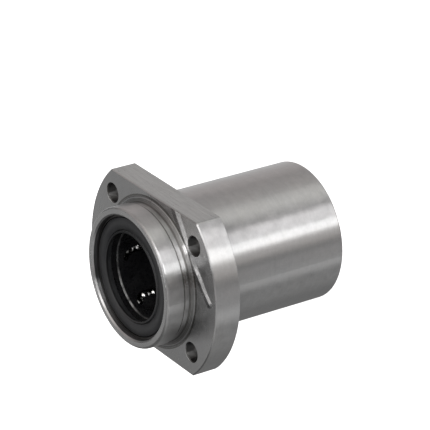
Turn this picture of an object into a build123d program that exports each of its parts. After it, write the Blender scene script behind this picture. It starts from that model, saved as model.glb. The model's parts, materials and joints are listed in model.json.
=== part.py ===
from build123d import *
import math
import os

os.makedirs("parts", exist_ok=True)

# Standard size of the bushing, in millimetres.
# The origin is the middle of the flange face that lies against the housing, the spigot points up.
shaft_diameter = 25.0
sleeve_diameter = 40.0
overall_length = 59.0
spigot_length = 8.0
flange_diameter = 62.0
flange_across_flats = 46.0
flange_thickness = 8.0
screw_spacing_y = 32.0
screw_circle_offset = 0.225
screw_hole_diameter = 5.5
screw_head_diameter = 9.5
screw_head_depth = 5.4

# Edges and grinding reliefs of the steel sleeve
end_edge_radius = 0.7
edge_break = 0.25
flange_chamfer = 0.3
flange_corner_radius = 1.0
spigot_ground_length = 5.3
relief_depth = 0.25
fine_groove_width = 0.4
fine_groove_depth = 0.2
corner_height = 0.45
corner_reach = 1.75
corner_rings = 4
corner_flare = 1.5
rear_corner_radius = 0.4
rear_relief_length = 1.6

# Balls and their six closed circuits
circuit_count = 6
first_circuit_angle = 56.0
ball_diameter = 3.175
ball_gap = 0.025
balls_in_a_turn = 3
least_turn_inset = 11.0
still_circuit = 3
phase_step = 0.5

# Clearances
race_clearance = 0.02
return_clearance = 0.09
track_clearance = 0.06
retainer_clearance = 0.2
shaft_clearance = 0.3
ring_clearance = 0.05
seal_clearance = 0.1

# Moulded retainer
land_width = 4.4
retainer_mouth_inset = 5.0
retainer_inset = 3.65
retainer_rim_thickness = 2.75

# End recess, retaining rings and seals, insets are measured from the end face
recess_step = 0.55
recess_chamfer = 0.45
seal_face_inset = 1.5
ring_thickness = 1.0
ring_wall = 1.15
ring_groove_depth = 0.55
ring_gap_angle = 16.0
ring_gap_direction = 30.0
core_thickness = 0.9
core_shaft_gap = 1.5
lip_rise = 0.25
lip_land = 0.45
lip_ring_width = 0.5
lip_groove_width = 0.4
lip_groove_depth = 0.45
lip_root_gap = 1.0

# Values that follow from the ones above
shaft_radius = shaft_diameter / 2
sleeve_radius = sleeve_diameter / 2
relieved_radius = sleeve_radius - relief_depth
ball_radius = ball_diameter / 2
front_end = spigot_length
rear_end = spigot_length - overall_length
middle = (front_end + rear_end) / 2
screw_circle_diameter = (sleeve_diameter + flange_diameter) / 2 + screw_circle_offset
screw_spacing_x = math.sqrt(screw_circle_diameter**2 - screw_spacing_y**2)
turn_step = 180.0 / balls_in_a_turn
turn_radius = ball_diameter + ball_gap
ball_pitch = math.pi * turn_radius / balls_in_a_turn
balls_in_a_row = int((overall_length - 2 * least_turn_inset) / ball_pitch)
row_length = balls_in_a_row * ball_pitch
loaded_radius = shaft_radius + ball_radius
race_radius = loaded_radius + ball_radius + race_clearance
return_radius = math.hypot(loaded_radius, 2 * turn_radius)
relief_radius = return_radius + ball_radius + return_clearance
track_radius = ball_radius + track_clearance
retainer_outer_radius = relief_radius - retainer_clearance
retainer_inner_radius = shaft_radius + shaft_clearance
recess_radius = relief_radius + recess_step
ring_groove_radius = recess_radius + ring_groove_depth
ring_outer_radius = ring_groove_radius - ring_clearance
ring_inner_radius = ring_outer_radius - ring_wall
seal_outer_radius = ring_inner_radius - seal_clearance
core_inner_radius = shaft_radius + core_shaft_gap
lip_root_radius = shaft_radius + lip_root_gap
core_top_inset = seal_face_inset + ring_thickness + seal_clearance


def turned(points):
    outline = make_face(Polyline(*points, close=True))
    return revolve(Plane.XZ * outline, Axis.Z)


def at_front(points):
    return [(radius, front_end - inset) for radius, inset in points]


def at_rear(shape):
    return mirror(shape, Plane.XY.offset(middle))


# Sleeve, spigot and flange are one piece of steel

def fine_groove(height):
    return [
        (relieved_radius, height + fine_groove_width / 2),
        (relieved_radius - fine_groove_depth, height),
        (relieved_radius, height - fine_groove_width / 2),
    ]


def spigot_corner():
    # narrow turned rings that grow flatter towards the flange face
    width = sleeve_radius + corner_reach - relieved_radius
    steps = [number / corner_rings for number in range(corner_rings + 1)]
    return [(relieved_radius + width * step, corner_height * (1 - step) ** corner_flare) for step in steps]


def sleeve_outside():
    ground_start = front_end - spigot_ground_length
    first_groove = ground_start - relief_depth - fine_groove_width / 2
    second_groove = corner_height + fine_groove_width / 2
    inside_flange = -flange_thickness / 2
    rear_relief_end = -flange_thickness - rear_relief_length
    profile = [
        (0, front_end),
        (sleeve_radius, front_end),
        (sleeve_radius, ground_start),
        (relieved_radius, ground_start - relief_depth),
        *fine_groove(first_groove)[1:],
        *fine_groove(second_groove)[:2],
        *spigot_corner(),
        (sleeve_radius + corner_reach, inside_flange),
        (relieved_radius, inside_flange),
        (relieved_radius, rear_relief_end + relief_depth),
        (sleeve_radius, rear_relief_end),
        (sleeve_radius, rear_end),
        (0, rear_end),
    ]
    return turned(profile)


def circle_edges(body, radius, height):
    circles = body.edges().filter_by(GeomType.CIRCLE)
    at_height = circles.filter_by(lambda edge: abs(edge.center().Z - height) < edge_break)
    return at_height.filter_by(lambda edge: abs(edge.radius - radius) < relief_depth / 2)


def sleeve_with_flange():
    body = sleeve_outside() + flange()
    body = fillet(circle_edges(body, relieved_radius, -flange_thickness), rear_corner_radius)
    front_edge = circle_edges(body, sleeve_radius, front_end)
    rear_edge = circle_edges(body, sleeve_radius, rear_end)
    return fillet(front_edge + rear_edge, end_edge_radius)


def flange():
    outline = Circle(flange_diameter / 2) & Rectangle(flange_diameter, flange_across_flats)
    outline = fillet(outline.vertices(), flange_corner_radius)
    plate = Pos(0, 0, -flange_thickness) * extrude(outline, flange_thickness)
    faces = plate.faces().sort_by(Axis.Z)
    return chamfer(faces[0].edges() + faces[-1].edges(), flange_chamfer)


def screw_hole():
    hole_radius = screw_hole_diameter / 2
    head_radius = screw_head_diameter / 2
    seat = screw_head_depth - flange_thickness
    profile = [
        (0, 0),
        (hole_radius + edge_break, 0),
        (hole_radius, -edge_break),
        (hole_radius, seat),
        (head_radius, seat),
        (head_radius, edge_break - flange_thickness),
        (head_radius + edge_break, -flange_thickness),
        (0, -flange_thickness),
    ]
    return turned(profile)


def end_recess():
    groove_top = seal_face_inset - ring_clearance
    groove_bottom = seal_face_inset + ring_thickness + ring_clearance
    profile = [
        (0, 0),
        (recess_radius + recess_chamfer, 0),
        (recess_radius, recess_chamfer),
        (recess_radius, groove_top),
        (ring_groove_radius, groove_top),
        (ring_groove_radius, groove_bottom),
        (recess_radius, groove_bottom),
        (recess_radius, retainer_mouth_inset),
        (relief_radius, retainer_mouth_inset + recess_radius - relief_radius),
        (0, retainer_mouth_inset + recess_radius - relief_radius),
    ]
    return turned(at_front(profile))


def race_lands():
    blank = Pos(0, 0, middle) * Cylinder(relief_radius + edge_break, row_length)
    lands = blank - Pos(0, 0, middle) * Cylinder(race_radius, row_length)
    bars = []
    for index in range(circuit_count):
        bar = Box(sleeve_radius, land_width, row_length, align=(Align.MIN, Align.CENTER, Align.CENTER))
        bars.append(Pos(0, 0, middle) * Rot(0, 0, circuit_angle(index)) * bar)
    return lands & Compound(bars)


def outer_sleeve():
    body = sleeve_with_flange()
    for x in (-screw_spacing_x / 2, screw_spacing_x / 2):
        for y in (-screw_spacing_y / 2, screw_spacing_y / 2):
            body -= Pos(x, y, 0) * screw_hole()
    body -= Pos(0, 0, middle) * Cylinder(relief_radius, overall_length)
    body -= end_recess()
    body -= at_rear(end_recess())
    return body + race_lands()


# Ball circuits: flat loops, each with its loaded row, return row and a turn at each end

def circuit_angle(index):
    return first_circuit_angle + index * 360.0 / circuit_count


def circuit_phase(index):
    return ((index - still_circuit) * phase_step) % 1.0


def circuit_place(index):
    return Pos(0, 0, middle) * Rot(0, 0, circuit_angle(index)) * Pos(loaded_radius, 0, 0)


def ball_group(index, centres):
    place = circuit_place(index)
    return Compound([place * Pos(0, across, along) * Sphere(ball_radius) for across, along in centres])


def row_steps(index):
    phase = circuit_phase(index)
    return [(step + phase) * ball_pitch - row_length / 2 for step in range(balls_in_a_row)]


def turn_angles(index):
    phase = circuit_phase(index)
    return [math.radians((step + phase) * turn_step) for step in range(balls_in_a_turn)]


def loaded_row(index):
    return ball_group(index, [(0, along) for along in row_steps(index)])


def return_row(index):
    return ball_group(index, [(2 * turn_radius, -along) for along in row_steps(index)])


def front_turn(index):
    centres = []
    for angle in turn_angles(index):
        across = turn_radius * (1 - math.cos(angle))
        along = row_length / 2 + turn_radius * math.sin(angle)
        centres.append((across, along))
    return ball_group(index, centres)


def rear_turn(index):
    centres = []
    for angle in turn_angles(index):
        across = turn_radius * (1 + math.cos(angle))
        along = -row_length / 2 - turn_radius * math.sin(angle)
        centres.append((across, along))
    return ball_group(index, centres)


# Retainer: a moulded sleeve with a track for each circuit and a channel for each race land

def track_profile():
    depth = sleeve_radius - loaded_radius
    side = Line((depth, -track_radius), (0, -track_radius))
    floor = ThreePointArc((0, -track_radius), (-track_radius, 0), (0, track_radius))
    other_side = Line((0, track_radius), (depth, track_radius))
    top = Line((depth, track_radius), (depth, -track_radius))
    return make_face([side, floor, other_side, top])


def ball_track():
    straight = Pos(0, 0, -row_length / 2) * extrude(track_profile(), row_length, dir=(0, 0, 1))
    turn_axis = Axis((0, turn_radius, 0), (-1, 0, 0))
    front = Pos(0, 0, row_length / 2) * revolve(track_profile(), turn_axis, 180)
    rear = mirror(front, Plane.XY)
    return [straight, Pos(0, 2 * turn_radius, 0) * straight, front, rear]


def land_channel():
    floor = race_radius - retainer_clearance
    width = land_width + 2 * retainer_clearance
    length = row_length + retainer_clearance + overall_length / 2
    channel = Box(sleeve_radius, width, length, align=(Align.MIN, Align.CENTER, Align.MAX))
    return Pos(floor, 0, row_length / 2 + retainer_clearance) * channel


def retainer():
    rim_radius = retainer_outer_radius - retainer_rim_thickness
    rear_mouth = 2 * middle - (front_end - retainer_mouth_inset)
    rear_rim = 2 * middle - (front_end - retainer_inset)
    profile = [
        (retainer_inner_radius, front_end - retainer_mouth_inset - edge_break),
        (retainer_inner_radius + edge_break, front_end - retainer_mouth_inset),
        (rim_radius, front_end - retainer_mouth_inset),
        (rim_radius, front_end - retainer_inset),
        (retainer_outer_radius, front_end - retainer_inset),
        (retainer_outer_radius, rear_rim),
        (rim_radius, rear_rim),
        (rim_radius, rear_mouth),
        (retainer_inner_radius + edge_break, rear_mouth),
        (retainer_inner_radius, rear_mouth + edge_break),
    ]
    body = turned(profile)
    for index in range(circuit_count):
        turn = Rot(0, 0, circuit_angle(index))
        for cut in ball_track():
            body -= circuit_place(index) * cut
        body -= Pos(0, 0, middle) * turn * land_channel()
    return body


# Retaining rings and seals, drawn at the front end and mirrored for the rear end

def retaining_ring():
    top = seal_face_inset
    bottom = seal_face_inset + ring_thickness
    corners = [
        (ring_inner_radius, top),
        (ring_outer_radius, top),
        (ring_outer_radius, bottom),
        (ring_inner_radius, bottom),
    ]
    ring = turned(at_front(corners))
    gap_width = 2 * ring_outer_radius * math.sin(math.radians(ring_gap_angle / 2))
    gap = Box(sleeve_radius, gap_width, overall_length, align=(Align.MIN, Align.CENTER, Align.CENTER))
    return ring - Rot(0, 0, ring_gap_direction) * gap


def seal_core():
    bottom = core_top_inset + core_thickness
    corners = [
        (core_inner_radius, core_top_inset),
        (recess_radius - seal_clearance, core_top_inset),
        (recess_radius - seal_clearance, bottom),
        (core_inner_radius, bottom),
    ]
    return turned(at_front(corners))


def seal_lip():
    lip_top = seal_face_inset - lip_rise
    lip_ring_radius = shaft_radius + lip_ring_width
    groove_radius = lip_ring_radius + lip_groove_width
    groove_bottom = seal_face_inset + lip_groove_depth
    bottom = core_top_inset + core_thickness
    corners = [
        (shaft_radius, lip_top),
        (lip_ring_radius, lip_top),
        (lip_ring_radius + lip_groove_width / 2, groove_bottom),
        (groove_radius, seal_face_inset),
        (seal_outer_radius - edge_break, seal_face_inset),
        (seal_outer_radius, seal_face_inset + edge_break),
        (seal_outer_radius, core_top_inset),
        (core_inner_radius, core_top_inset),
        (core_inner_radius, bottom),
        (lip_root_radius, bottom),
        (lip_ring_radius, groove_bottom + lip_groove_depth),
        (shaft_radius, lip_top + lip_land),
    ]
    return turned(at_front(corners))


parts = {
    "outer_sleeve": outer_sleeve(),
    "ball_retainer": retainer(),
    "front_retaining_ring": retaining_ring(),
    "rear_retaining_ring": at_rear(retaining_ring()),
    "front_seal_core": seal_core(),
    "rear_seal_core": at_rear(seal_core()),
    "front_seal_lip": seal_lip(),
    "rear_seal_lip": at_rear(seal_lip()),
}

for index in range(circuit_count):
    number = index + 1
    parts[f"circuit_{number}_loaded_row"] = loaded_row(index)
    parts[f"circuit_{number}_front_turn"] = front_turn(index)
    parts[f"circuit_{number}_return_row"] = return_row(index)
    parts[f"circuit_{number}_rear_turn"] = rear_turn(index)

for name, shape in parts.items():
    export_step(shape, f"parts/{name}.step")
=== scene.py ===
import json
import math

import bpy
from mathutils import Euler, Matrix, Vector


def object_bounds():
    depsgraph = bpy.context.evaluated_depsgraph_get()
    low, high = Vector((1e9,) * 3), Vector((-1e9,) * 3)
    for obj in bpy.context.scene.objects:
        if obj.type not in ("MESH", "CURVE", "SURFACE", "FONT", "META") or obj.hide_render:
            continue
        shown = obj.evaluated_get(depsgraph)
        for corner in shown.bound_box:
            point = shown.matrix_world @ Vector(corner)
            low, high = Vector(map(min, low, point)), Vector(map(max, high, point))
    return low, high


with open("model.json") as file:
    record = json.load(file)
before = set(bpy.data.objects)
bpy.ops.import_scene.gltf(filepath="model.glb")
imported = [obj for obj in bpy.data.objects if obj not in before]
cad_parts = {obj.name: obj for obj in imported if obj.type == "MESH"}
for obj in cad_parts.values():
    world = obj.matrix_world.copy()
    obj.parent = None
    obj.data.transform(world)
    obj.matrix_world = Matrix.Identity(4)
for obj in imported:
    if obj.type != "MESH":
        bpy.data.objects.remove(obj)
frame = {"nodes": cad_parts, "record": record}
nodes = frame["nodes"]
cadBox = [list(corner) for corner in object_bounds()]
scene = bpy.context.scene
scene.view_settings.view_transform = "Standard"
print("frame loaded,", len(nodes), "nodes")

# what the looks take from the frame: the ends, the flats, and the mounts' sizes in metres
mounts = {mount["name"]: mount["dims"] for mount in frame["record"]["mounts"]}
rearEnd, frontEnd = cadBox[0][2], cadBox[1][2]
lengthMiddle = (rearEnd + frontEnd) / 2
flatDistance = cadBox[1][1]
shaftRadius = mounts["shaft_bore"]["r_mm"] / 1000
screwX = mounts["flange_screws"]["spacing_x_mm"] / 2000
screwY = mounts["flange_screws"]["spacing_y_mm"] / 2000


# small helpers for shader trees

degreesInRadian = 180 / math.pi
noiseSpan = 0.2  # how far each side of a half most of a noise reaches
noiseKinds = {  # detail and roughness
    "soft": (2.0, 0.5),
    "specks": (2.0, 0.6),
    "flow": (3.0, 0.5),
    "grainy": (3.0, 0.6),
    "clouds": (4.0, 0.55),
}


def freshTree(owner):
    owner.use_nodes = True
    tree = owner.node_tree
    tree.nodes.clear()
    return tree


def setInput(tree, socket, value):
    if isinstance(value, bpy.types.NodeSocket):
        tree.links.new(value, socket)
    else:
        socket.default_value = value


def addNode(tree, kind, settings=None, **inputs):
    # an input is a plain value or a socket of another node; a key like "in1" stands for input number 1
    node = tree.nodes.new(kind)
    for key, value in (settings or {}).items():
        setattr(node, key, value)
    for key, value in inputs.items():
        numbered = key.startswith("in") and key[2:].isdigit()
        socket = node.inputs[int(key[2:])] if numbered else node.inputs[key.replace("_", " ")]
        setInput(tree, socket, value)
    return node


def maths(tree, operation, first, second=0.0, third=None):
    node = addNode(tree, "ShaderNodeMath", {"operation": operation}, in0=first, in1=second)
    if third is not None:
        setInput(tree, node.inputs[2], third)
    return node.outputs[0]


def product(tree, *values):
    result = values[0]
    for value in values[1:]:
        result = maths(tree, "MULTIPLY", result, value)
    return result


def total(tree, values):
    result = 0.0
    for value in values:
        result = maths(tree, "ADD", value, result)
    return result


def vectorMaths(tree, operation, output, **inputs):
    return addNode(tree, "ShaderNodeVectorMath", {"operation": operation}, **inputs).outputs[output]


def remap(tree, value, fromLow, fromHigh, toLow, toHigh, smooth=False):
    kind = "SMOOTHSTEP" if smooth else "LINEAR"
    node = addNode(tree, "ShaderNodeMapRange", {"interpolation_type": kind}, in0=value, in1=fromLow,
                   in2=fromHigh, in3=toLow, in4=toHigh)
    return node.outputs[0]


def spread(tree, value, toLow, toHigh, span=noiseSpan):
    # the middle of a noise stretched over a range
    return remap(tree, value, 0.5 - span, 0.5 + span, toLow, toHigh)


def band(tree, value, middle, half, soft):
    # 1 within half of the middle, falling to 0 over the soft edge
    away = maths(tree, "ABSOLUTE", maths(tree, "SUBTRACT", value, middle))
    return remap(tree, away, half, half + soft, 1.0, 0.0, smooth=True)


def noise(tree, vector, scale, kind="soft"):
    detail, rough = noiseKinds[kind]
    node = addNode(tree, "ShaderNodeTexNoise", Vector=vector, Scale=scale, Detail=detail, Roughness=rough)
    return node.outputs["Fac"]


def split(tree, vector):
    return addNode(tree, "ShaderNodeSeparateXYZ", Vector=vector).outputs


def distance(tree, first, second):
    # the square root of the sum of both squares
    squares = maths(tree, "ADD", product(tree, first, first), product(tree, second, second))
    return maths(tree, "SQRT", squares)


def fromMiddle(tree, z):
    return maths(tree, "ABSOLUTE", maths(tree, "SUBTRACT", z, lengthMiddle))


def azimuthOf(tree, x, y):
    return product(tree, maths(tree, "ARCTAN2", y, x), degreesInRadian)


def blendColour(tree, amount, first, second):
    node = addNode(tree, "ShaderNodeMix", {"data_type": "RGBA"}, in0=amount, in6=first, in7=second)
    return node.outputs[2]


def blendNumber(tree, amount, first, second):
    return addNode(tree, "ShaderNodeMix", in0=amount, in2=first, in3=second).outputs[0]


def bumped(tree, height, depth, strength=1.0, normal=None, invert=False):
    # the normal after a bump of this depth, on top of the normal given
    node = addNode(tree, "ShaderNodeBump", {"invert": invert}, Strength=strength, Distance=depth,
                   Height=height)
    if normal is not None:
        setInput(tree, node.inputs["Normal"], normal)
    return node.outputs[0]


def finished(material, tree, **inputs):
    shader = addNode(tree, "ShaderNodeBsdfPrincipled", **inputs)
    addNode(tree, "ShaderNodeOutputMaterial", Surface=shader.outputs[0])
    return material


def newGroup(name, inputs, outputs):
    # inputs are (label, socket kind, starting value or None), outputs are labels of plain numbers
    group = bpy.data.node_groups.new(name, "ShaderNodeTree")
    for label, kind, start in inputs:
        socket = group.interface.new_socket(label, in_out="INPUT", socket_type=kind)
        if start is not None:
            socket.default_value = start
    for label in outputs:
        group.interface.new_socket(label, in_out="OUTPUT", socket_type="NodeSocketFloat")
    return group, group.nodes.new("NodeGroupInput").outputs, group.nodes.new("NodeGroupOutput").inputs


def useGroup(tree, group, **inputs):
    return addNode(tree, "ShaderNodeGroup", {"node_tree": group}, **inputs).outputs


# effects that several materials share

lineLook = {
    "flatEdge": flatDistance - 0.0001,  # past this distance from the middle a point lies on one of the flats
    "alongRate": 60.0,  # how fast a line changes along its run, each metre
    "broadShare": 0.13,  # broad lines, as a share of the fine ones' rate
    "dragRate": (130.0, 1900.0, 1900.0),  # marks about half a millimetre wide, drawn out along X
}


def makeGrindLines(look):
    # fine lines that run round the shaft axis on turned surfaces and along X on the flange's flats:
    # noise that changes fast with radius and height and slowly along the line
    group, given, wanted = newGroup(
        "grind lines",
        [("Vector", "NodeSocketVector", None), ("Lines Per Metre", "NodeSocketFloat", None)],
        ["Lines", "Broad", "Drag", "Flat"])
    x, y, z = split(group, given["Vector"])
    side = maths(group, "ABSOLUTE", y)
    onFlat = maths(group, "GREATER_THAN", side, look["flatEdge"])
    across = blendNumber(group, onFlat, distance(group, x, y), side)
    fine = given["Lines Per Metre"]
    xSlow = product(group, x, look["alongRate"])
    ySlow = product(group, y, look["alongRate"])
    outwards = maths(group, "MULTIPLY_ADD", across, fine, xSlow)
    upwards = maths(group, "MULTIPLY_ADD", z, fine, ySlow)
    place = addNode(group, "ShaderNodeCombineXYZ", X=outwards, Y=upwards,
                    Z=maths(group, "SUBTRACT", xSlow, ySlow)).outputs[0]
    wide = vectorMaths(group, "SCALE", 0, in0=place, in3=look["broadShare"])
    drawn = vectorMaths(group, "MULTIPLY", 0, in0=given["Vector"], in1=look["dragRate"])
    group.links.new(noise(group, place, 1.0, "grainy"), wanted["Lines"])
    group.links.new(noise(group, wide, 1.0), wanted["Broad"])
    group.links.new(noise(group, drawn, 1.0, "grainy"), wanted["Drag"])
    group.links.new(onFlat, wanted["Flat"])
    return group


filmLook = {
    "mottleScale": 420.0,
    "cloudSpan": 0.15,
    "specks": (0.62, 0.75),  # the part of the noise that shows as specks
}


def makeOilFilm(look):
    # soft clouds of oil and handling, a finer mottling, and small specks
    group, given, wanted = newGroup(
        "oil film",
        [("Vector", "NodeSocketVector", None), ("Cloud Scale", "NodeSocketFloat", None),
         ("Speck Scale", "NodeSocketFloat", None)],
        ["Cloud", "Mottle", "Speck"])
    place = given["Vector"]
    cloud = noise(group, place, given["Cloud Scale"], "clouds")
    speck = noise(group, place, given["Speck Scale"], "specks")
    few, many = look["specks"]
    group.links.new(spread(group, cloud, 0.0, 1.0, look["cloudSpan"]), wanted["Cloud"])
    group.links.new(noise(group, place, look["mottleScale"], "grainy"), wanted["Mottle"])
    group.links.new(remap(group, speck, few, many, 0.0, 1.0), wanted["Speck"])
    return group


grindLines = makeGrindLines(lineLook)
oilFilm = makeOilFilm(filmLook)
print("shared effects made")


# the ground steel of the sleeve

sleeveLook = {
    "colour": (0.622, 0.622, 0.622, 1),
    "darkLine": (0.545, 0.545, 0.545, 1),
    "warmFilm": (0.60, 0.590, 0.582, 1),
    "cloudScale": 90.0,
    "linesPerMetre": 16000.0,
    "lineDepth": 0.0000008,
    "roughness": (0.335, 0.375),
    "anisotropy": 1.0,
    "edgeTint": (0.88, 0.88, 0.88, 1),
    "flatTint": (0.965, 1.0, 0.995),
    "mottle": {"tone": 0.10, "roughness": 0.05},
    "drag": {"tone": 0.16, "roughness": 0.06},
    "waviness": {"scale": 330.0, "depth": 0.000004},
    # faced surfaces: how upright the normal is, the roughness of the flange and of the rims, and how far
    # from the middle of the length the rims start
    "faced": {"upright": (0.97, 0.995), "roughness": (0.20, 0.21), "grain": 0.06, "rims": (0.024, 0.025)},
    # painted shade: the recesses at both ends, and the screw holes below the flange face
    "blackRoughness": 0.42,
    "recess": {"radius": 0.01773, "start": 0.0247, "colour": (0.17, 0.17, 0.172, 1)},
    "holeShade": {"x": screwX, "y": screwY, "radius": 0.0048, "bottom": -0.0078, "top": -0.00004,
             "colour": (0.15, 0.149, 0.146, 1)},
    # painted shade in the spigot's fine grooves (height and half width) and at the turned corner's outer edge
    "grooveShade": {"grooves": ((0.00243, 0.00020), (0.00065, 0.00020)), "spigot": 0.0204,
             "edge": (0.0218, 0.00008, 0.00012), "share": 0.8, "colour": (0.16, 0.155, 0.145, 1)},
    # rings turned in the corner, bumped and darkened with painted shade: radius and half width
    "rings": {"places": ((0.0203, 0.00008), (0.02066, 0.00007), (0.0214, 0.00013)), "soft": 1.5,
              "share": 0.6, "depth": 0.00008},
    "corner": (0.0004, 0.0005, 0.0002),  # height of the corner's middle, half of it and its soft edge
    # a brown oil stain beside the spigot: azimuth and half width in degrees, height up to
    "stain": {"azimuth": 17.0, "half": 4.2, "soft": 4.9, "height": 0.0021, "heightSoft": 0.0004,
              "radius": 0.0222, "scale": 1500.0, "range": (0.38, 0.6), "share": 0.8,
              "colour": (0.30, 0.275, 0.25, 1)},
    # a painted highlight on the turned corner where the key light falls: azimuth and half width in degrees,
    # radius, width and soft edge
    "polished": {"azimuth": 40.0, "half": 2.2, "radius": 0.0211, "width": 0.0007, "soft": 0.0002,
                 "colour": (0.97, 0.97, 0.97, 1)},
    # painted shade: the flange face is a little darker than the rims, and darkest beside the first screw
    # hole, where it dims the spigot's reflection
    "faceShade": {"dark": 0.14, "darkest": 0.52, "azimuth": 34.0, "half": 4.5, "soft": 4.0,
             "radius": (0.0222, 0.0228), "scale": 300.0, "range": (0.3, 0.6), "least": 0.6},
    # how near to its height a point still lies on the flange face, and the soft edge of that
    "face": (0.00005, 0.0001),
    # one burnished streak over the flange face, a shallow arc square to the azimuth
    "streak": {"azimuth": 39.2, "distance": 0.0217, "bow": 3.9, "bowMiddle": -0.003,
               "ends": (-0.0168, 0.0125), "endEdge": (0.0008, 0.0012), "width": (0.0016, 0.0022),
               "rise": (-0.75, 0.15), "slope": 0.34, "wander": 0.0006, "wanderScale": 160.0,
               "radius": 0.0216, "gap": (-0.0040, 0.0012, 0.0024), "gapDepth": 0.55},
}


def recessMask(tree, at, look):
    # painted shade on the walls inside the recesses at both ends
    inside = maths(tree, "LESS_THAN", at["radius"], look["radius"])
    return product(tree, inside, maths(tree, "GREATER_THAN", fromMiddle(tree, at["z"]), look["start"]))


def holeShadeMask(tree, at, look):
    # painted shade inside the screw holes: nearer to a screw hole's axis than its radius, and between its
    # bottom and its top
    besideX = maths(tree, "SUBTRACT", maths(tree, "ABSOLUTE", at["x"]), look["x"])
    besideY = maths(tree, "SUBTRACT", maths(tree, "ABSOLUTE", at["y"]), look["y"])
    inside = maths(tree, "LESS_THAN", distance(tree, besideX, besideY), look["radius"])
    below = maths(tree, "LESS_THAN", at["z"], look["top"])
    return product(tree, inside, below, maths(tree, "GREATER_THAN", at["z"], look["bottom"]))


def grooveShadeMask(tree, at, look):
    # painted shade darkening the spigot's grooves and the corner's outer edge
    onSpigot = maths(tree, "LESS_THAN", at["radius"], look["spigot"])
    grooves = total(tree, [band(tree, at["z"], height, half, half) for height, half in look["grooves"]])
    edge = product(tree, band(tree, at["radius"], *look["edge"]), at["corner"])
    return maths(tree, "MULTIPLY_ADD", grooves, onSpigot, edge)


def ringMask(tree, at, look):
    rings = [band(tree, at["radius"], radius, half, half * look["soft"]) for radius, half in look["places"]]
    return product(tree, total(tree, rings), at["corner"])


def stainMask(tree, at, look):
    blotch = noise(tree, at["vector"], look["scale"], "grainy")
    blotch = remap(tree, blotch, *look["range"], 0.0, 1.0)
    beside = band(tree, at["azimuth"], look["azimuth"], look["half"], look["soft"])
    low = band(tree, at["z"], look["height"] / 2, look["height"] / 2, look["heightSoft"])
    near = maths(tree, "LESS_THAN", at["radius"], look["radius"])
    return product(tree, beside, blotch, low, near)


def cornerHighlightMask(tree, at, look):
    # painted highlight: a lighter patch on the corner beside the spigot
    beside = band(tree, at["azimuth"], look["azimuth"], look["half"], look["half"])
    ring = band(tree, at["radius"], look["radius"], look["width"], look["soft"])
    return product(tree, beside, ring, at["corner"])


def faceShadeMask(tree, at, look):
    cloudy = noise(tree, at["vector"], look["scale"], "grainy")
    cloudy = remap(tree, cloudy, *look["range"], look["least"], 1.0)
    beside = band(tree, at["azimuth"], look["azimuth"], look["half"], look["soft"])
    outside = remap(tree, at["radius"], *look["radius"], 0.0, 1.0)
    darkest = product(tree, beside, cloudy, outside)
    return product(tree, blendNumber(tree, darkest, look["dark"], look["darkest"]), at["face"])


def streakMask(tree, at, look):
    # out is the distance from the axis square to the streak, along is the distance along it; the streak's
    # inner edge lies where out is its distance, plus the square of along times its bow, plus some wander
    turn = math.radians(look["azimuth"])
    out = maths(tree, "MULTIPLY_ADD", at["x"], math.cos(turn), product(tree, at["y"], math.sin(turn)))
    along = maths(tree, "MULTIPLY_ADD", at["y"], math.cos(turn), product(tree, at["x"], -math.sin(turn)))
    fromBow = maths(tree, "SUBTRACT", along, look["bowMiddle"])
    bowed = product(tree, fromBow, fromBow, look["bow"])
    off = maths(tree, "SUBTRACT", maths(tree, "SUBTRACT", out, look["distance"]), bowed)
    wander = maths(tree, "SUBTRACT", noise(tree, at["vector"], look["wanderScale"]), 0.5)
    off = maths(tree, "MULTIPLY_ADD", wander, look["wander"], off)
    start, end = look["ends"]
    share = maths(tree, "DIVIDE", off, remap(tree, along, start, end, *look["width"]))
    # a steep rise at the inner edge, then a long fall outwards, lower where the streak crosses the corner
    rise = remap(tree, share, *look["rise"], 0.0, 1.0, smooth=True)
    fall = remap(tree, share, 0.0, 1.0, 1.0, 0.0)
    inset, soft = look["endEdge"]
    within = band(tree, along, (end + start) / 2, (end - start) / 2 - inset, soft)
    gap = product(tree, band(tree, along, *look["gap"]), look["gapDepth"])
    kept = maths(tree, "SUBTRACT", 1.0, gap)
    outside = maths(tree, "GREATER_THAN", at["radius"], look["radius"])
    return product(tree, rise, fall, kept, within, at["face"], outside)


def makeSleevePlaces(look):
    # where on the sleeve a point lies, as one mask for each kind of place
    labels = ["Recess", "Hole Shade", "Groove Shade", "Faced", "Rings", "Streak", "Stain", "Corner Highlight", "Face Shade"]
    group, given, wanted = newGroup(
        "sleeve places", [("Vector", "NodeSocketVector", None), ("Normal", "NodeSocketVector", None)], labels)
    x, y, z = split(group, given["Vector"])
    at = {
        "vector": given["Vector"],
        "x": x,
        "y": y,
        "z": z,
        "radius": distance(group, x, y),
        "azimuth": azimuthOf(group, x, y),
        "corner": band(group, z, *look["corner"]),
        "face": band(group, z, 0.0, *look["face"]),
    }
    upright = maths(group, "ABSOLUTE", split(group, given["Normal"])[2])
    masks = [
        recessMask(group, at, look["recess"]),
        holeShadeMask(group, at, look["holeShade"]),
        grooveShadeMask(group, at, look["grooveShade"]),
        remap(group, upright, *look["faced"]["upright"], 0.0, 1.0, smooth=True),
        ringMask(group, at, look["rings"]),
        streakMask(group, at, look["streak"]),
        stainMask(group, at, look["stain"]),
        cornerHighlightMask(group, at, look["polished"]),
        faceShadeMask(group, at, look["faceShade"]),
    ]
    for label, mask in zip(labels, masks):
        group.links.new(mask, wanted[label])
    return group


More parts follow.
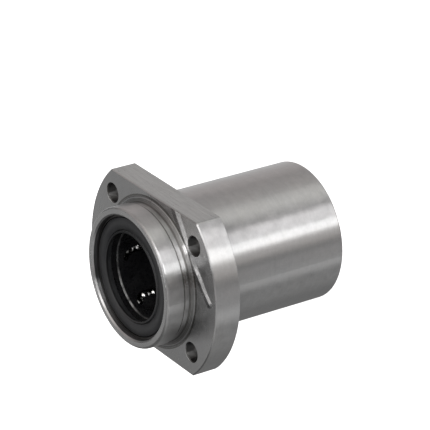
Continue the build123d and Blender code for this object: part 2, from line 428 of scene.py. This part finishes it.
def sleeveColour(tree, colour, lines, mottle, drag, where, look):
    shade = maths(tree, "MULTIPLY_ADD", mottle, look["mottle"]["tone"], 1.0)
    shade = maths(tree, "MULTIPLY_ADD", drag, look["drag"]["tone"], shade)
    shade = product(tree, shade, maths(tree, "SUBTRACT", 1.0, where["Face Shade"]))
    colour = vectorMaths(tree, "SCALE", 0, in0=colour, in3=shade)
    tinted = vectorMaths(tree, "MULTIPLY", 0, in0=colour, in1=look["flatTint"])
    colour = blendColour(tree, lines["Flat"], colour, tinted)
    # a stain, painted shade in the corner's rings, a painted highlight on the corner, then painted shade in
    # the grooves, recesses and holes
    layers = [
        (product(tree, where["Stain"], look["stain"]["share"]), look["stain"]["colour"]),
        (product(tree, where["Rings"], look["rings"]["share"]), look["grooveShade"]["colour"]),
        (where["Corner Highlight"], look["polished"]["colour"]),
        (product(tree, where["Groove Shade"], look["grooveShade"]["share"]), look["grooveShade"]["colour"]),
        (where["Recess"], look["recess"]["colour"]),
        (where["Hole Shade"], look["holeShade"]["colour"]),
    ]
    for amount, layer in layers:
        colour = blendColour(tree, amount, colour, layer)
    return colour


def sleeveRoughness(tree, rough, place, grain, mottle, drag, where, look):
    onFlange, onRim = look["faced"]["roughness"]
    faced = remap(tree, fromMiddle(tree, split(tree, place)[2]), *look["faced"]["rims"], onFlange, onRim)
    faced = maths(tree, "MULTIPLY_ADD", grain, look["faced"]["grain"], faced)
    rough = blendNumber(tree, where["Faced"], rough, faced)
    rough = maths(tree, "MULTIPLY_ADD", mottle, look["mottle"]["roughness"], rough)
    rough = maths(tree, "MULTIPLY_ADD", drag, look["drag"]["roughness"], rough)
    dark = maths(tree, "MAXIMUM", where["Recess"], where["Hole Shade"])
    return blendNumber(tree, dark, rough, look["blackRoughness"])


def sleeveNormal(tree, normal, place, where, look):
    # slight waves everywhere, the rings turned into the corner, and the streak's slope
    waves = noise(tree, place, look["waviness"]["scale"])
    waving = bumped(tree, waves, look["waviness"]["depth"], normal=normal)
    ringed = bumped(tree, where["Rings"], look["rings"]["depth"], normal=waving, invert=True)
    streakDepth = look["streak"]["slope"] * look["streak"]["width"][1]
    return bumped(tree, where["Streak"], streakDepth, normal=ringed)


ringLook = {
    "colour": (0.13, 0.128, 0.127, 1),
    "darkLine": (0.07, 0.069, 0.068, 1),
    "warmFilm": (0.11, 0.104, 0.098, 1),
    "cloudScale": 90.0,
    "linesPerMetre": 5000.0,
    "lineDepth": 0.000003,
    "roughness": (0.36, 0.48),
    "anisotropy": 0.4,
    "edgeTint": (0.8, 0.8, 0.8, 1),
}

steelLook = {  # the same on all ground steel
    "lineShares": (0.25, 0.75),  # how much broad and fine lines count in the tone
    "toneSpan": 0.15,
    "filmShare": 0.5,
    "grain": {"scale": 2600.0, "roughness": 0.05},
    "bumpStrength": 0.5,
    "quarterTurn": 0.25,  # the highlight spreads square to the lines
}


def groundSteel(name, look, places=None):
    # the steel of the sleeve where its places are given, and else of the rings
    material = bpy.data.materials.new(name)
    tree = freshTree(material)
    coords = addNode(tree, "ShaderNodeTexCoord").outputs
    place = coords["Object"]
    lines = useGroup(tree, grindLines, Vector=place, Lines_Per_Metre=look["linesPerMetre"])
    film = useGroup(tree, oilFilm, Vector=place, Cloud_Scale=look["cloudScale"])
    broadShare, fineShare = steelLook["lineShares"]
    tone = maths(tree, "MULTIPLY_ADD", lines["Broad"], broadShare, product(tree, lines["Lines"], fineShare))
    tone = spread(tree, tone, 0.0, 1.0, steelLook["toneSpan"])
    colour = blendColour(tree, tone, look["darkLine"], look["colour"])
    colour = blendColour(tree, product(tree, film["Cloud"], steelLook["filmShare"]), colour, look["warmFilm"])
    grain = noise(tree, place, steelLook["grain"]["scale"], "specks")
    rough = spread(tree, lines["Lines"], *look["roughness"])
    uneven = spread(tree, grain, -0.5, 0.5)
    rough = maths(tree, "MULTIPLY_ADD", uneven, steelLook["grain"]["roughness"], rough)
    normal = bumped(tree, lines["Lines"], look["lineDepth"], steelLook["bumpStrength"])
    if places:
        where = useGroup(tree, places, Vector=place, Normal=coords["Normal"])
        mottle = spread(tree, film["Mottle"], -1.0, 1.0)
        drag = product(tree, spread(tree, lines["Drag"], -1.0, 1.0), lines["Flat"])
        colour = sleeveColour(tree, colour, lines, mottle, drag, where, look)
        rough = sleeveRoughness(tree, rough, place, grain, mottle, drag, where, look)
        normal = sleeveNormal(tree, normal, place, where, look)
    tangent = addNode(tree, "ShaderNodeTangent", {"direction_type": "RADIAL", "axis": "Z"}).outputs[0]
    return finished(material, tree, Base_Color=colour, Metallic=1.0, Roughness=rough, Normal=normal,
                    Tangent=tangent, Anisotropic=look["anisotropy"],
                    Anisotropic_Rotation=steelLook["quarterTurn"], Specular_Tint=look["edgeTint"])


# rubber, plastic and balls

rubberLook = {
    "colour": (0.020, 0.021, 0.023, 1),
    "dust": (0.050, 0.051, 0.052, 1),
    "dustShares": (0.6, 0.35),  # how much specks and clouds of dust show
    "cloudScale": 160.0,
    "speckScale": 3400.0,
    "roughness": (0.42, 0.6),
    "bulge": (0.0152, 0.0021, 0.0008),  # radius of the middle, half width and height of the rounded face
    # painted shade: the rubber inside the lip's bore is nearly black
    "inside": (0.004, 0.004, 0.0045, 1),
    "lipRadius": shaftRadius + 0.00006,
    "grain": {"scale": 5200.0, "depth": 0.000012, "strength": 0.6},
}


def sealRubber(name, look):
    material = bpy.data.materials.new(name)
    tree = freshTree(material)
    place = addNode(tree, "ShaderNodeTexCoord").outputs["Object"]
    film = useGroup(tree, oilFilm, Vector=place, Cloud_Scale=look["cloudScale"],
                    Speck_Scale=look["speckScale"])
    speckShare, cloudShare = look["dustShares"]
    dust = maths(tree, "MULTIPLY_ADD", film["Speck"], speckShare, product(tree, film["Cloud"], cloudShare))
    colour = blendColour(tree, dust, look["colour"], look["dust"])
    x, y = split(tree, place)[:2]
    radius = distance(tree, x, y)
    # painted shade inside the lip's bore
    colour = blendColour(tree, maths(tree, "LESS_THAN", radius, look["lipRadius"]), colour, look["inside"])
    # the face is rounded: its height falls with the square of the distance from its middle
    middle, half, high = look["bulge"]
    off = maths(tree, "DIVIDE", maths(tree, "SUBTRACT", radius, middle), half)
    rounded = maths(tree, "SUBTRACT", 1.0, product(tree, off, off))
    grain = noise(tree, place, look["grain"]["scale"], "grainy")
    normal = bumped(tree, rounded, high)
    normal = bumped(tree, grain, look["grain"]["depth"], look["grain"]["strength"], normal)
    rough = remap(tree, film["Cloud"], 0.0, 1.0, *look["roughness"])
    return finished(material, tree, Base_Color=colour, Roughness=rough, Normal=normal)


retainerLook = {
    "colour": (0.006, 0.006, 0.007, 1),
    "worn": (0.016, 0.016, 0.017, 1),
    "cloudScale": 220.0,
    "roughness": (0.22, 0.36),
    "flow": {"scale": 900.0, "depth": 0.00001, "strength": 0.4},
    "gloss": 0.25,
    # the line of grease with a painted highlight: radius of the mouth, distance from the middle of the length
    # and half width
    "mouth": (0.01315, 0.0245, 0.00030),
    "grease": (0.34, 0.34, 0.335, 1),
    "patches": {"scale": 420.0, "range": (0.30, 0.6), "least": 0.12},
    # azimuths, seen from the far side, where the painted highlight swells and where it ends, and what is left
    # there
    "highlightArc": {"swell": (10.0, 32.0), "end": (64.0, 82.0), "before": 0.16, "after": 0.10},
}


def retainerPlastic(name, look):
    material = bpy.data.materials.new(name)
    tree = freshTree(material)
    place = addNode(tree, "ShaderNodeTexCoord").outputs["Object"]
    film = useGroup(tree, oilFilm, Vector=place, Cloud_Scale=look["cloudScale"])
    colour = blendColour(tree, film["Cloud"], look["colour"], look["worn"])
    # a painted highlight on a broken line of grease round both mouths, most of it on the side away from the
    # first screw hole
    x, y, z = split(tree, place)
    mouth, end, half = look["mouth"]
    inMouth = maths(tree, "LESS_THAN", distance(tree, x, y), mouth)
    patches = noise(tree, place, look["patches"]["scale"], "grainy")
    patches = remap(tree, patches, *look["patches"]["range"], look["patches"]["least"], 1.0)
    highlightArc = look["highlightArc"]
    azimuth = azimuthOf(tree, product(tree, x, -1.0), product(tree, y, -1.0))
    swelling = remap(tree, azimuth, *highlightArc["swell"], highlightArc["before"], 1.0, smooth=True)
    ending = remap(tree, azimuth, *highlightArc["end"], 1.0, highlightArc["after"], smooth=True)
    line = band(tree, fromMiddle(tree, z), end, half, half)
    greased = product(tree, line, inMouth, patches, swelling, ending)
    colour = blendColour(tree, greased, colour, look["grease"])
    flow = noise(tree, place, look["flow"]["scale"], "flow")
    rough = spread(tree, flow, *look["roughness"])
    normal = bumped(tree, flow, look["flow"]["depth"], look["flow"]["strength"])
    return finished(material, tree, Base_Color=colour, Roughness=rough, Normal=normal,
                    Specular_IOR_Level=look["gloss"])


ballLook = {
    "colour": (0.80, 0.80, 0.81, 1),
    "oiled": (0.66, 0.655, 0.64, 1),
    "greased": (0.16, 0.16, 0.155, 1),
    "turns": (0.0194, 0.0202),  # distances from the middle of the length: clean up to here, painted shade on the balls in the turns from here
    "cloudScale": 420.0,
    "speckScale": 6000.0,
    "roughness": (0.06, 0.09),
}


def polishedBall(name, look):
    material = bpy.data.materials.new(name)
    tree = freshTree(material)
    place = addNode(tree, "ShaderNodeTexCoord").outputs["Object"]
    film = useGroup(tree, oilFilm, Vector=place, Cloud_Scale=look["cloudScale"],
                    Speck_Scale=look["speckScale"])
    colour = blendColour(tree, film["Cloud"], look["colour"], look["oiled"])
    # painted shade: the balls in the turns are darkened
    inTurn = remap(tree, fromMiddle(tree, split(tree, place)[2]), *look["turns"], 0.0, 1.0)
    colour = blendColour(tree, inTurn, colour, look["greased"])
    rough = remap(tree, film["Speck"], 0.0, 1.0, *look["roughness"])
    return finished(material, tree, Base_Color=colour, Metallic=1.0, Roughness=rough)


springSteel = groundSteel("oiled spring steel", ringLook)
ballSteel = polishedBall("polished ball steel", ballLook)
finishes = {  # a piece's name ends with the words of its finish
    "outer_sleeve": groundSteel("ground steel", sleeveLook, makeSleevePlaces(sleeveLook)),
    "retaining_ring": springSteel,
    "seal_core": springSteel,
    "seal_lip": sealRubber("seal rubber", rubberLook),
    "ball_retainer": retainerPlastic("retainer plastic", retainerLook),
    "row": ballSteel,
    "turn": ballSteel,
}

for name, piece in nodes.items():
    finish = next(material for words, material in finishes.items() if name.endswith(words))
    for slot in piece.material_slots:
        slot.material = finish
print("materials placed")


# floor, studio light and camera

floorLook = {
    "side": 3.0,
    "height": rearEnd,
    "colour": (0.86, 0.86, 0.86, 1),
    "paler": (0.9, 0.9, 0.9, 1),
    "grainScale": 900.0,
    "roughness": 0.9,
    "glow": 1.0,
}


def makeFloor(look):
    # one square, half its side to each side of the middle
    half, height = look["side"] / 2, look["height"]
    corners = [(-half, -half, height), (half, -half, height), (half, half, height), (-half, half, height)]
    mesh = bpy.data.meshes.new("floor")
    mesh.from_pydata(corners, [], [(0, 1, 2, 3)])
    floor = bpy.data.objects.new("floor", mesh)
    scene.collection.objects.link(floor)
    material = bpy.data.materials.new("pale floor")
    tree = freshTree(material)
    place = addNode(tree, "ShaderNodeTexCoord").outputs["Object"]
    colour = blendColour(tree, noise(tree, place, look["grainScale"]), look["colour"], look["paler"])
    finished(material, tree, Base_Color=colour, Roughness=look["roughness"], Emission_Color=(1, 1, 1, 1),
             Emission_Strength=look["glow"])
    mesh.materials.append(material)
    floor.visible_glossy = False
    floor.visible_shadow = False


# light panels stand round the object: azimuth, half width and soft edge in degrees, then the strength
# near the floor, at eye level and overhead, and a slight tint where the light isn't white
studioLook = {
    "room": (0.303, 0.106, 0.164),
    "floorLine": (-0.25, 0.05),  # where the low share ends, as heights on the unit sphere
    "ceilingLine": (0.35, 0.70),  # where the overhead share starts
    "white": (1.0, 1.0, 1.0),
    "panels": {
        "key strip": {"place": (29.5, 7.4, 3.8), "glow": (0.93, 4.61, 0.0)},
        "key panel": {"place": (47.0, 8.6, 4.8), "glow": (0.32, 3.02, 0.0), "tint": (1.02, 1.0, 1.01)},
        "key tail": {"place": (67.8, 8.0, 11.4), "glow": (0.10, 0.0, 2.39), "tint": (1.03, 1.0, 1.0)},
        "side panel": {"place": (85.2, 12.6, 16.0), "glow": (0.63, 0.44, 1.10), "tint": (1.01, 1.0, 0.96)},
        "high side": {"place": (113.0, 12.2, 14.0), "glow": (0.28, 0.0, 1.23), "tint": (1.07, 1.0, 0.96)},
        "fill panel": {"place": (148.0, 17.5, 30.0), "glow": (0.30, 0.30, 0.54), "tint": (1.12, 1.0, 0.98)},
        "rear panel": {"place": (182.0, 15.2, 24.0), "glow": (0.76, 0.0, 0.15), "tint": (1.0, 1.0, 1.01)},
        "far panel": {"place": (207.0, 9.6, 20.0), "glow": (0.0, 0.53, 0.0)},
        "front step": {"place": (16.5, 9.0, 6.0), "glow": (0.53, 0.0, 0.0), "tint": (1.06, 1.0, 0.965)},
        "first step": {"place": (5.5, 4.0, 4.0), "glow": (0.23, 0.0, 0.0), "tint": (1.12, 1.0, 0.93)},
        "low step": {"place": (-12.5, 7.5, 6.0), "glow": (0.14, 0.09, 0.58), "tint": (1.05, 1.0, 1.0)},
        "low panel": {"place": (-33.5, 6.0, 15.0), "glow": (0.55, 0.37, 0.80)},
        "left panel": {"place": (-61.0, 13.0, 16.6), "glow": (0.0, 0.25, 0.72)},
    },
    # a long narrow light overhead, square to "across": its stretches run from and to a number of degrees
    # off "along", each with its strength
    "longLight": {
        "across": (0.6418, -0.7424, 0.1919),
        "along": (-0.1493, 0.1245, 0.9809),
        "halfWidth": 9.0,
        "edge": 4.0,
        "end": 6.0,
        "stretches": ((-50.0, -15.0, 1.31), (-15.0, 20.0, 0.39), (20.0, 55.0, 0.03)),
    },
}


def panelGlow(tree, azimuth, shares, panel, white):
    middle, half, edge = panel["place"]
    around = maths(tree, "SUBTRACT", azimuth, middle)
    away = maths(tree, "ABSOLUTE", maths(tree, "WRAP", around, 180.0, -180.0))
    across = remap(tree, away, half - edge / 2, half + edge / 2, 1.0, 0.0, smooth=True)
    strength = vectorMaths(tree, "DOT_PRODUCT", "Value", in0=shares, in1=panel["glow"])
    return vectorMaths(tree, "SCALE", 0, in0=panel.get("tint", white), in3=product(tree, across, strength))


def longLightGlows(tree, way, light):
    sideways = Vector(light["across"]).cross(Vector(light["along"]))
    offPlane, along, beyond = [vectorMaths(tree, "DOT_PRODUCT", "Value", in0=way, in1=direction)
                               for direction in (light["across"], light["along"], sideways)]
    wide, edge, end = light["halfWidth"], light["edge"] / 2, light["end"] / 2
    inWidth = remap(tree, maths(tree, "ABSOLUTE", offPlane), math.sin(math.radians(wide - edge)),
                    math.sin(math.radians(wide + edge)), 1.0, 0.0)
    spot = azimuthOf(tree, along, beyond)
    glows = []
    for start, stop, strength in light["stretches"]:
        begun = remap(tree, spot, start - end, start + end, 0.0, strength)
        left = remap(tree, spot, stop - end, stop + end, 1.0, 0.0)
        glows.append(product(tree, begun, left, inWidth))
    return glows


def makeStudio(look):
    world = bpy.data.worlds.new("studio")
    scene.world = world
    tree = freshTree(world)
    way = addNode(tree, "ShaderNodeTexCoord").outputs["Generated"]
    x, y, z = split(tree, way)
    low = remap(tree, z, *look["floorLine"], 1.0, 0.0)
    high = remap(tree, z, *look["ceilingLine"], 0.0, 1.0)
    level = maths(tree, "SUBTRACT", maths(tree, "SUBTRACT", 1.0, low), high)
    shares = addNode(tree, "ShaderNodeCombineXYZ", X=low, Y=level, Z=high).outputs[0]
    azimuth = azimuthOf(tree, x, y)
    glows = [panelGlow(tree, azimuth, shares, panel, look["white"]) for panel in look["panels"].values()]
    glows += longLightGlows(tree, way, look["longLight"])
    light = vectorMaths(tree, "DOT_PRODUCT", "Value", in0=shares, in1=look["room"])
    for glow in glows:
        light = vectorMaths(tree, "ADD", 0, in0=light, in1=glow)
    seen = addNode(tree, "ShaderNodeLightPath").outputs["Is Camera Ray"]
    colour = blendColour(tree, seen, light, (1, 1, 1, 1))
    background = addNode(tree, "ShaderNodeBackground", Color=colour, Strength=1.0)
    addNode(tree, "ShaderNodeOutputWorld", Surface=background.outputs[0])


photoCamera = {
    "place": (0.51883, 0.31190, 0.34958),
    "turn": (-23.0987, 55.1366, 2.5641),  # degrees about X, Y and Z
    "lens": 213.1,
    "sensor": 36.0,
    "clip": (0.05, 10.0),
}


def makeCamera(look):
    data = bpy.data.cameras.new("camera")
    data.lens = look["lens"]
    data.sensor_width = look["sensor"]
    data.clip_start, data.clip_end = look["clip"]
    camera = bpy.data.objects.new("camera", data)
    scene.collection.objects.link(camera)
    turn = Euler([math.radians(angle) for angle in look["turn"]])
    camera.matrix_world = Matrix.LocRotScale(Vector(look["place"]), turn, None)
    scene.camera = camera


makeFloor(floorLook)
makeStudio(studioLook)
makeCamera(photoCamera)
print("floor, light and camera made")
